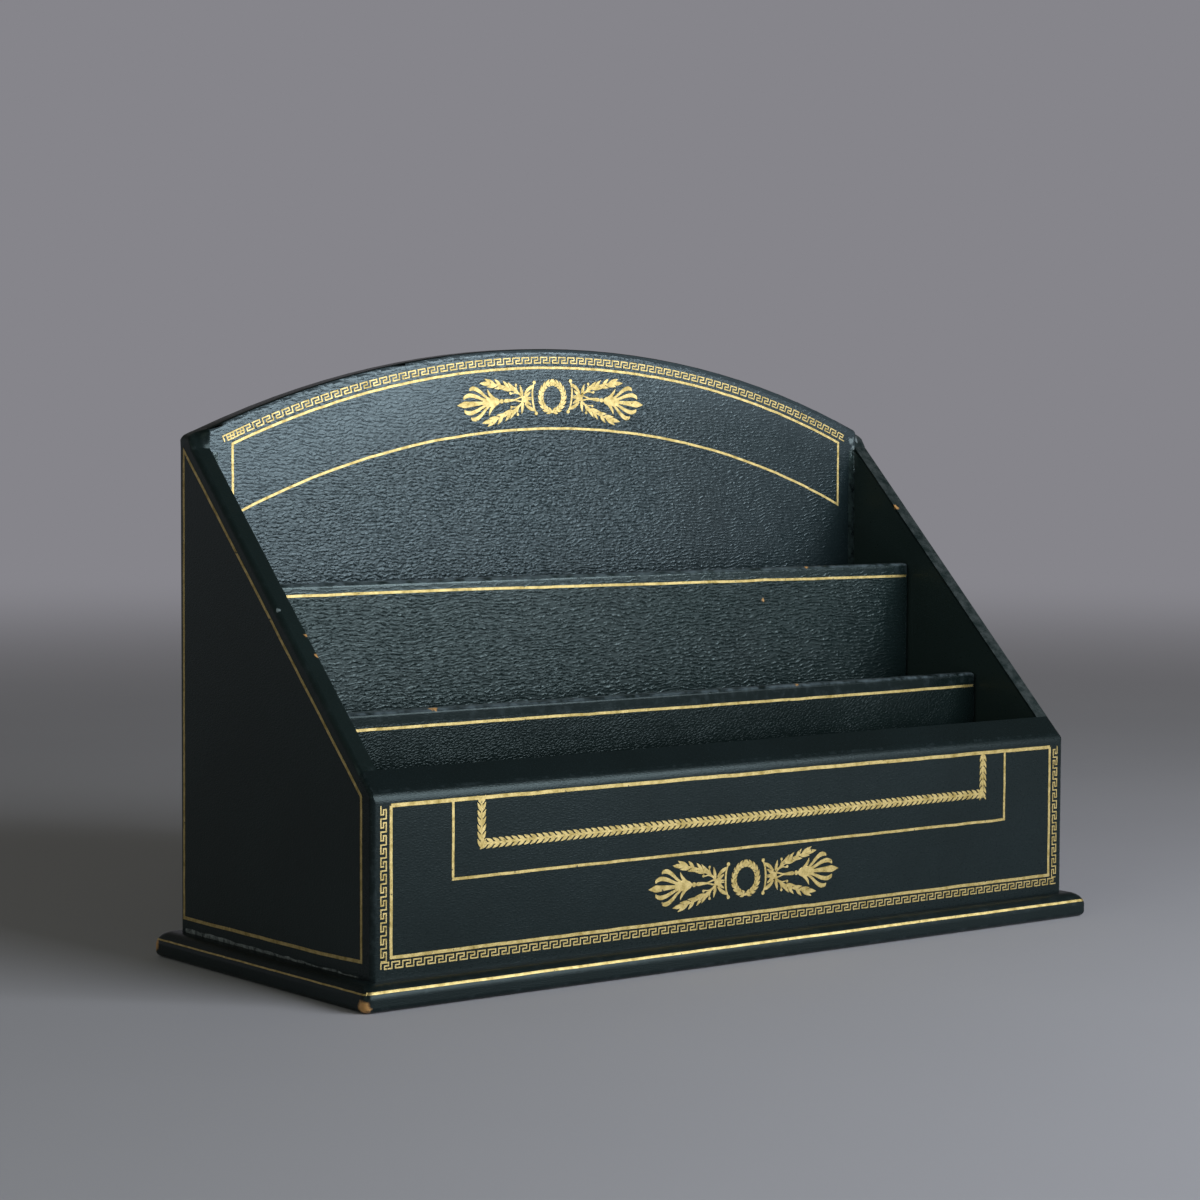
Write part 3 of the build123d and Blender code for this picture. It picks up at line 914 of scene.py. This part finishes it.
def ornament(marks, spot, centre, tilt_degrees=0.0, lifts=(0.0, 0.0)):
    """The whole ornament on a face, its halves hanging outwards by the tilt."""
    centre = Vector(centre)
    wreath(marks, lambda u, v, h: spot(centre.x + u, centre.y + v, h))
    hang = Matrix.Rotation(math.radians(-tilt_degrees), 2)
    for side, lift in zip((-1, 1), lifts):
        def turned(u, v, h):
            across, rise = hang @ Vector((u - HINGE_MM, v))
            return spot(centre.x + side * (HINGE_MM + across), centre.y + rise + lift, h)
        half_ornament(marks, turned)


print("a wreath has", 4 * WREATH_PAIRS, "leaves")

# %% [markdown]
# ## Lines on the front
#
# A line runs round the front face, drawn along a ruler with a small wander. A key band lies outside it on
# three sides. A thinner frame hangs from the top line.

# %% Front lines
def looking_forward(node_name):
    """Gives the places of points (along, up, out) in mm on a sheet's front face."""
    face_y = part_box(node_name)[0].y
    return lambda u, v, h: Vector((u * MM, face_y - h * MM, v * MM))


def hanging_frame(half, top, bottom):
    """Three sides of a frame that is open at the top."""
    return [(-half, top), (-half, bottom), (half, bottom), (half, top)]


on_front = looking_forward("front_leather")
FRONT_HALF_MM, FRONT_TOP_MM, FRONT_BOTTOM_MM = 143.0, 61.95, 15.35
THIN_HALF_MM, THIN_BOTTOM_MM = 120.0, 37.4
FRAME_LINE_MM, TOP_LINE_MM, THIN_LINE_MM = 0.55, 0.62, 0.48
front_gold = bmesh.new()
frame_path = hanging_frame(FRONT_HALF_MM, FRONT_TOP_MM, FRONT_BOTTOM_MM)
ribbon(front_gold, on_front, drawn(frame_path), FRAME_LINE_MM)
ribbon(front_gold, on_front, drawn([frame_path[0], frame_path[-1]]), TOP_LINE_MM)
thin_path = hanging_frame(THIN_HALF_MM, FRONT_TOP_MM, THIN_BOTTOM_MM)
ribbon(front_gold, on_front, drawn(thin_path), THIN_LINE_MM)

KEY_HEIGHT_MM, KEY_GAP_MM = 1.95, 0.4
KEY_OUTER_MM, KEY_FOOT_MM, KEY_TOP_MM = 146.75, 12.05, 62.05
foot_run = key_path(2 * KEY_OUTER_MM, KEY_HEIGHT_MM)
foot_key = [(u - KEY_OUTER_MM, KEY_FOOT_MM + v) for u, v in foot_run]
ribbon(front_gold, on_front, foot_key, KEY_HALF_MM)
side_foot = KEY_FOOT_MM + KEY_HEIGHT_MM + KEY_GAP_MM
side_run = key_path(KEY_TOP_MM - side_foot, KEY_HEIGHT_MM)
for side in (-1, 1):
    path = [(side * (KEY_OUTER_MM - v), side_foot + u) for u, v in side_run]
    ribbon(front_gold, on_front, path, KEY_HALF_MM)
ribbon_piece("front_lines_gold", front_gold)

# %% [markdown]
# ## Laurel and ornament on the front
#
# Inside the thin frame hangs a band of laurel: a stem with a pair of leaves at every step, rolled on with a
# wheel like the key. The wreath ornament stands below it.

# %% Front laurel and ornament
LAUREL_HALF_MM, LAUREL_BOTTOM_MM = 109.2, 47.5
LAUREL_PITCH_MM, LAUREL_STEM_MM, LAUREL_CORNER_MM = 2.43, 0.4, 1.5
LEAF_LONG_MM, LEAF_OUT_MM, LEAF_HALF_MM = 2.9, 1.62, 0.6
laurel_gold = bmesh.new()


def laurel_run(start, end):
    """Pairs of leaves along a straight run, growing from start to end."""
    start, end = Vector(start), Vector(end)
    along = (end - start).normalized()
    across = Vector((-along.y, along.x))
    count = round((end - start).length / LAUREL_PITCH_MM)
    ribbon(laurel_gold, on_front, [start, end], LAUREL_STEM_MM)
    for k in range(count):
        base = start.lerp(end, (k + 0.1) / count)
        for side in (-1, 1):
            tip = base + along * LEAF_LONG_MM + across * side * LEAF_OUT_MM
            leaf(laurel_gold, on_front, base + across * side * 0.1, tip, LEAF_HALF_MM, HIGH_MM)


laurel_foot = LAUREL_BOTTOM_MM - LAUREL_CORNER_MM
laurel_run((LAUREL_HALF_MM, FRONT_TOP_MM), (LAUREL_HALF_MM, laurel_foot))
laurel_run((LAUREL_HALF_MM, LAUREL_BOTTOM_MM), (-LAUREL_HALF_MM, LAUREL_BOTTOM_MM))
laurel_run((-LAUREL_HALF_MM, laurel_foot), (-LAUREL_HALF_MM, FRONT_TOP_MM))
ribbon_piece("front_laurel_gold", laurel_gold)

front_ornament = bmesh.new()
ornament(front_ornament, on_front, (-1.1, 26.95))
ribbon_piece("front_ornament_gold", front_ornament)

# %% [markdown]
# ## The back board
#
# Two arcs joined by short upright lines frame the ornament, and a key band follows the arch above them. At
# its left end the wheel was set down twice. The ornament's halves hang down a little.

# %% Back tooling
PANEL_HALF_MM, PANEL_STEPS, PANEL_LINE_MM = 134.9, 60, 0.46
UPPER_CROWN_MM, UPPER_RADIUS_MM = 197.7, 352.0
LOWER_CROWN_MM, LOWER_RADIUS_MM = 176.1, 329.0
on_panel = looking_forward("back_face_leather")
panel_gold = bmesh.new()
stations = [-PANEL_HALF_MM + 2 * PANEL_HALF_MM * k / PANEL_STEPS for k in range(PANEL_STEPS + 1)]
upper = [(u, UPPER_CROWN_MM - fall_away(UPPER_RADIUS_MM, abs(u))) for u in stations]
lower = [(u, LOWER_CROWN_MM - fall_away(LOWER_RADIUS_MM, abs(u))) for u in reversed(stations)]
outline = drawn(upper + lower + upper[:1], wander_mm=0.04)[:-1]
ribbon(panel_gold, on_panel, outline, PANEL_LINE_MM, closed=True)

KEY_RISE_MM, KEY_REACH_MM = 1.72, 137.2
SECOND_ROLL_MM, SECOND_ROLL_UNITS = Vector((1.3, 0.5)), 2
key_reach = math.asin(KEY_REACH_MM / UPPER_RADIUS_MM)
key_radius = UPPER_RADIUS_MM + KEY_RISE_MM
centre_z = UPPER_CROWN_MM - UPPER_RADIUS_MM
arch_key = []
for along, high in key_path(2 * key_reach * key_radius, KEY_HEIGHT_MM):
    angle = along / key_radius - key_reach
    outwards = Vector((math.sin(angle), math.cos(angle)))
    arch_key.append(Vector((0, centre_z)) + outwards * (key_radius + high))
ribbon(panel_gold, on_panel, arch_key, KEY_HALF_MM)
rolled_twice = [p + SECOND_ROLL_MM for p in arch_key[:SECOND_ROLL_UNITS * len(KEY_UNIT)]]
ribbon(panel_gold, on_panel, rolled_twice, KEY_HALF_MM)
ribbon_piece("back_lines_gold", panel_gold)

panel_ornament = bmesh.new()
ornament(panel_ornament, on_panel, (-2.8, 187.25), tilt_degrees=5.0, lifts=(-0.4, 0.3))
ribbon_piece("back_ornament_gold", panel_ornament)

# %% [markdown]
# ## Sides and dividers
#
# Each outer side has one line that follows its outline, and each divider has one below its top edge. The
# dividers' lines are not quite straight, because they were tooled on the curved fold.

# %% Side and divider lines
SIDE_LINE_MM, DIVIDER_LINE_MM, DIVIDER_END_MM = 0.55, 0.48, 1.5
side_path = [(-51.6, 13.9), (-35.0, 13.4), (55.0, 13.4), (54.2, 168.6), (-51.6, 64.7)]
for name, face_x, out in (("left", left_x, -1), ("right", right_x, 1)):
    def on_side(u, v, h):
        return Vector((face_x + out * h * MM, u * MM, v * MM))
    side_gold = bmesh.new()
    ribbon(side_gold, on_side, drawn(side_path + side_path[:1])[:-1], SIDE_LINE_MM, closed=True)
    ribbon_piece(name + "_side_line_gold", side_gold)

# Points (share of half the width, height in mm) along each divider's line.
DIVIDER_LINES = {"front": [(-1, 80.8), (-0.6, 81.0), (0, 81.05), (0.5, 81.25), (1, 81.6)],
                 "rear": [(-1, 121.6), (-0.5, 121.8), (0, 121.4), (0.5, 121.1), (1, 120.7)]}
for name, heights in DIVIDER_LINES.items():
    node_name = name + "_divider_leather"
    divider_gold = bmesh.new()
    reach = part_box(node_name)[1].x / MM - DIVIDER_END_MM
    line = smooth([(share * reach, high) for share, high in heights], steps=9)
    ribbon(divider_gold, looking_forward(node_name), drawn(line), DIVIDER_LINE_MM)
    ribbon_piece(name + "_divider_line_gold", divider_gold)

# %% [markdown]
# ## The plinth's line
#
# The plinth has one line on its rounded shoulder, along the front and both sides. A point of it is given by
# its place along the run and its angle on the nose, and takes the same round corners as the leather.

# %% Plinth line
NOSE_LINE_ANGLE = math.radians(63)
NOSE_FRONT_LINE_MM, NOSE_SIDE_LINE_MM = 0.46, 0.28
CLOSE_STEP_MM, CLOSE_STEPS, WIDE_STEPS = 0.4, 12, 40
plinth_gold = bmesh.new()
nose_out = NOSE_RADIUS_MM * (1 - math.sin(NOSE_LINE_ANGLE))
half_x, half_y = (edge / MM - nose_out for edge in plinth_high.xy)


def on_nose(out_axis, out_sign):
    """Places for one run of the moulding, which faces along out_axis."""
    edge = (plinth_high if out_sign > 0 else plinth_low)[out_axis] / MM

    def spot(u, v, h):
        angle = NOSE_LINE_ANGLE - v / NOSE_RADIUS_MM
        out = NOSE_RADIUS_MM * (1 - math.sin(angle)) - h * math.sin(angle)
        high = plinth_high.z / MM - NOSE_RADIUS_MM * (1 - math.cos(angle)) + h * math.cos(angle)
        place = [u, u, high]
        place[out_axis] = edge - out_sign * out
        return corner_form(Vector(place)) * MM
    return spot


def nose_run(half, start_v, end_v):
    """A line from corner to corner, with close points where the corners are round."""
    near = [half - CLOSE_STEP_MM * k for k in range(CLOSE_STEPS)]
    middle = half - CLOSE_STEP_MM * CLOSE_STEPS
    stations = [-u for u in near]
    stations += [-middle + 2 * middle * k / WIDE_STEPS for k in range(WIDE_STEPS + 1)]
    stations += reversed(near)
    fall = (end_v - start_v) / (2 * half)
    return [(u, start_v + fall * (u + half) + hand.gauss(0, 0.03)) for u in stations]


ribbon(plinth_gold, on_nose(1, -1), nose_run(half_x, 0.2, -0.2), NOSE_FRONT_LINE_MM)
for sign in (-1, 1):
    ribbon(plinth_gold, on_nose(0, sign), nose_run(half_y, -0.1, -0.1), NOSE_SIDE_LINE_MM)
ribbon_piece("plinth_line_gold", plinth_gold)

# %% [markdown]
# ## Dust in the seam
#
# Where the left side stands on the plinth, wax and dust have gathered in the seam. It is a thin pale ribbon,
# widest at the back, and broken like the rest of the wear.

# %% Seam dust
DUST_START_MM, DUST_STEP_MM, DUST_STEPS, DUST_LIFT_MM = 54.0, 4.0, 27, 0.05
DUST_WIDE_MM, DUST_NARROWS_MM, DUST_VARIES_MM = 0.75, 0.02, 0.15
dust, tree, surface, place = new_material("wax_and_dust")
crumbs = speckle(tree, place, 3.0, 5.0, 0.7)["Fac"]
tone = ramp(tree, crumbs, (0.38, "#1c2425"), (0.62, "#868d8a"))
coat(tree, surface, {"Base Color": tone, "Roughness": 0.75})


def on_seam(u, v, h):
    """Along the seam and up the side, a little above the ledge."""
    return Vector((left_x - h * MM, u * MM, plinth_high.z + (DUST_LIFT_MM + v) * MM))


dust_mesh = bmesh.new()
dust_width = [DUST_WIDE_MM - DUST_NARROWS_MM * k + hand.uniform(-DUST_VARIES_MM, DUST_VARIES_MM)
              for k in range(DUST_STEPS)]
dust_path = [(DUST_START_MM - DUST_STEP_MM * k, width) for k, width in enumerate(dust_width)]
ribbon(dust_mesh, on_seam, dust_path, dust_width)
ribbon_piece("left_seam_dust", dust_mesh, dust, "morocco_leather", 40)

# %% [markdown]
# ## Hidden pieces
#
# Boards, pins, screws and the cloth underneath keep their CAD shapes and get the finish of what they are.
# The back board is cut and formed like the leather over its ends.

# %% Hidden finishes
STREAK_DEPTH_MM = 0.05


def plain_grain(name, dark, light, across_mm, along_mm, roughness, metallic=0.0):
    """A finish with streaks along X, of that width and length."""
    material, tree, surface, place = new_material(name)
    streaks = scaled(tree, place, (along_mm, across_mm, across_mm))
    figure = add(tree, "TexNoise", {"Vector": streaks, "Scale": 1.0, "Detail": 4.0}).outputs["Fac"]
    colour = ramp(tree, figure, (0.0, dark), (1.0, light))
    finish = {"Base Color": colour, "Roughness": roughness, "Metallic": metallic}
    coat(tree, surface, finish, figure, STREAK_DEPTH_MM)
    return material


finishes = {
    "board": plain_grain("planed_beech", "#8a5a30", "#c08a52", 1.2, 30.0, 0.6),
    "baize": plain_grain("woollen_baize", "#1c2a1f", "#2f4433", 0.5, 0.7, 0.95),
    "pins": plain_grain("drawn_steel", "#6f7072", "#a3a4a6", 0.4, 4.0, 0.35, 1.0),
    "screws": plain_grain("turned_brass", "#9a7a3c", "#c7a35a", 0.4, 2.0, 0.35, 1.0),
}
cut_sheet("back_board", finishes["board"], "board_wood")
for node_name, node_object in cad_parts.items():
    if node_name not in SHEETS and node_name != "back_board":
        kind = next(k for k in finishes if k in node_name)
        node_object.data.materials.clear()
        node_object.data.materials.append(finishes[kind])
